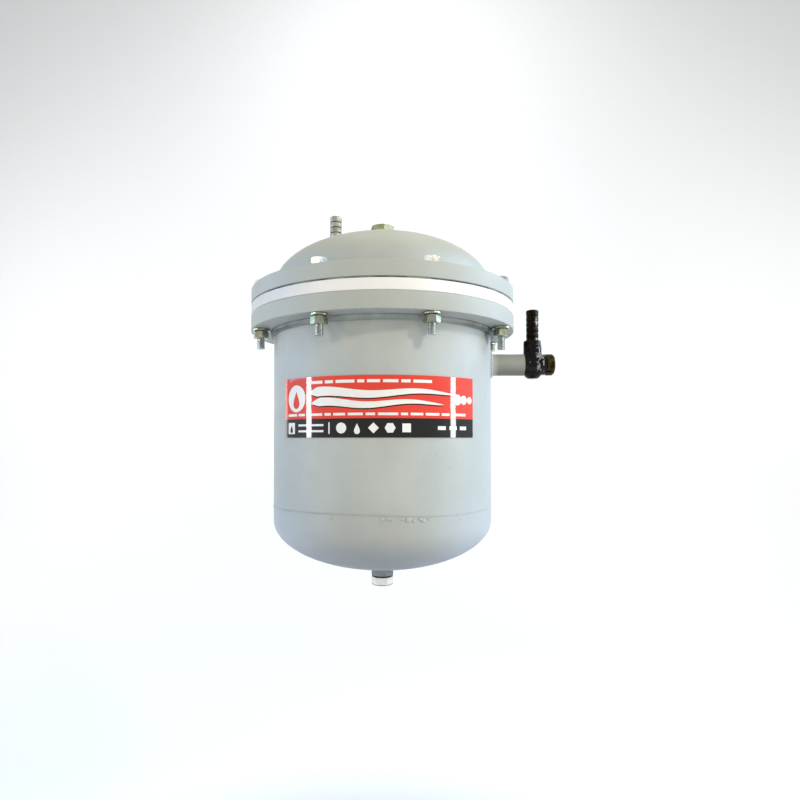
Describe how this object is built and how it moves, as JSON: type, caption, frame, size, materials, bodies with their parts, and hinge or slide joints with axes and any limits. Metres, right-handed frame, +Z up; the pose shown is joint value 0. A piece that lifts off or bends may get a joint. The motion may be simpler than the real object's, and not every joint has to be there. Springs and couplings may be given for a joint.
{
  "type": "cartridge filter housing",
  "caption": "Flanged steel pressure vessel with a domed lid that holds a pleated water filter cartridge, with a side pipe, lid hose tail, vent plug and bottom drain.",
  "frame": {"origin": "centre of the drain plug's lower face, on the vessel's axis", "axes": "+Z up along the vessel's axis towards the lid, -Y towards the front where the label is, +X towards the side pipe"},
  "size_m": [0.3053, 0.2636, 0.3828],
  "materials": {
    "body_paint": "satin light blue-grey enamel over steel, brushed on over the welds",
    "plated_steel": "bright nickel-plated steel",
    "zinc_plate": "zinc-plated steel with a faint yellow passivation",
    "brass": "machined brass, slightly dulled",
    "tarnished_brass": "brass darkened by handling and old paint",
    "black_rubber": "matt black sealing rubber",
    "black_tape": "glossy wrinkled black tape",
    "white_plate": "white polymer plate, satin edge",
    "cap_plastic": "moulded blue polypropylene",
    "pleated_media": "pleated white non-woven membrane",
    "core_plastic": "moulded grey-white plastic",
    "label_film": "glossy printed film, red field over a black strip, no lettering"
  },
  "bodies": {
    "vessel": {"vessel_shell": "body_paint", "bottom_head": "body_paint", "vessel_flange": "body_paint", "flange_o_ring": "black_rubber", "drain_socket": "body_paint", "drain_seal": "black_rubber", "label": "label_film", "side_pipe": "body_paint", "tee_body": "brass", "tape_wrap": "black_tape", "outlet_hose_tail": "tarnished_brass", "nut_washer_1": "zinc_plate", "nut_washer_2": "zinc_plate", "nut_washer_3": "zinc_plate", "nut_washer_4": "zinc_plate", "nut_washer_5": "zinc_plate", "nut_washer_6": "zinc_plate", "nut_washer_7": "zinc_plate", "nut_washer_8": "zinc_plate"},
    "lid": {"lid_flange": "body_paint", "lid_dome": "body_paint", "lid_boss": "body_paint", "lid_tail_boss": "body_paint", "lid_hose_tail": "plated_steel", "bolt_1": "zinc_plate", "bolt_2": "zinc_plate", "bolt_3": "zinc_plate", "bolt_4": "zinc_plate", "bolt_5": "zinc_plate", "bolt_6": "zinc_plate", "bolt_7": "zinc_plate", "bolt_8": "zinc_plate"},
    "cartridge": {"tube_plate": "white_plate", "lid_gasket": "black_rubber", "cartridge_top_cap": "cap_plastic", "neck_seal": "black_rubber", "filter_media": "pleated_media", "core_tube": "core_plastic", "cartridge_bottom_cap": "cap_plastic"},
    "vent_plug": {"vent_plug": "brass"},
    "drain_plug": {"drain_plug": "plated_steel"},
    "end_plug": {"end_plug": "tarnished_brass"},
    "ring_nut": {"ring_nut": "cap_plastic"},
    "nut_1": {"nut_1": "zinc_plate"},
    "nut_2": {"nut_2": "zinc_plate"},
    "nut_3": {"nut_3": "zinc_plate"},
    "nut_4": {"nut_4": "zinc_plate"},
    "nut_5": {"nut_5": "zinc_plate"},
    "nut_6": {"nut_6": "zinc_plate"},
    "nut_7": {"nut_7": "zinc_plate"},
    "nut_8": {"nut_8": "zinc_plate"}
  },
  "joints": [
    {"name": "lid_lift", "type": "slide", "parent": "vessel", "child": "lid", "axis": [0, 0, 1], "range_m": [0, 0.35]},
    {"name": "cartridge_lift", "type": "slide", "parent": "vessel", "child": "cartridge", "axis": [0, 0, 1], "range_m": [0, 0.21]},
    {"name": "vent_plug_turn", "type": "hinge", "parent": "lid", "child": "vent_plug", "pos_m": [0, 0, 0.3634], "axis": [0, 0, 1], "continuous": true},
    {"name": "drain_plug_turn", "type": "hinge", "parent": "vessel", "child": "drain_plug", "pos_m": [0, 0, 0.004], "axis": [0, 0, 1], "continuous": true},
    {"name": "end_plug_turn", "type": "hinge", "parent": "vessel", "child": "end_plug", "pos_m": [0.1694, 0, 0.223], "axis": [1, 0, 0], "continuous": true},
    {"name": "ring_nut_turn", "type": "hinge", "parent": "cartridge", "child": "ring_nut", "pos_m": [0, 0, 0.2849], "axis": [0, 0, 1], "continuous": true},
    {"name": "nut_1_turn", "type": "hinge", "parent": "vessel", "child": "nut_1", "pos_m": [0.04722, -0.11401, 0.2474], "axis": [0, 0, 1], "continuous": true},
    {"name": "nut_2_turn", "type": "hinge", "parent": "vessel", "child": "nut_2", "pos_m": [0.11401, -0.04722, 0.2474], "axis": [0, 0, 1], "continuous": true},
    {"name": "nut_3_turn", "type": "hinge", "parent": "vessel", "child": "nut_3", "pos_m": [0.11401, 0.04722, 0.2474], "axis": [0, 0, 1], "continuous": true},
    {"name": "nut_4_turn", "type": "hinge", "parent": "vessel", "child": "nut_4", "pos_m": [0.04722, 0.11401, 0.2474], "axis": [0, 0, 1], "continuous": true},
    {"name": "nut_5_turn", "type": "hinge", "parent": "vessel", "child": "nut_5", "pos_m": [-0.04722, 0.11401, 0.2474], "axis": [0, 0, 1], "continuous": true},
    {"name": "nut_6_turn", "type": "hinge", "parent": "vessel", "child": "nut_6", "pos_m": [-0.11401, 0.04722, 0.2474], "axis": [0, 0, 1], "continuous": true},
    {"name": "nut_7_turn", "type": "hinge", "parent": "vessel", "child": "nut_7", "pos_m": [-0.11401, -0.04722, 0.2474], "axis": [0, 0, 1], "continuous": true},
    {"name": "nut_8_turn", "type": "hinge", "parent": "vessel", "child": "nut_8", "pos_m": [-0.04722, -0.11401, 0.2474], "axis": [0, 0, 1], "continuous": true}
  ],
  "couplings": [
    {"joint": "cartridge_lift", "follows": "lid_lift", "ratio": 0.6}
  ]
}
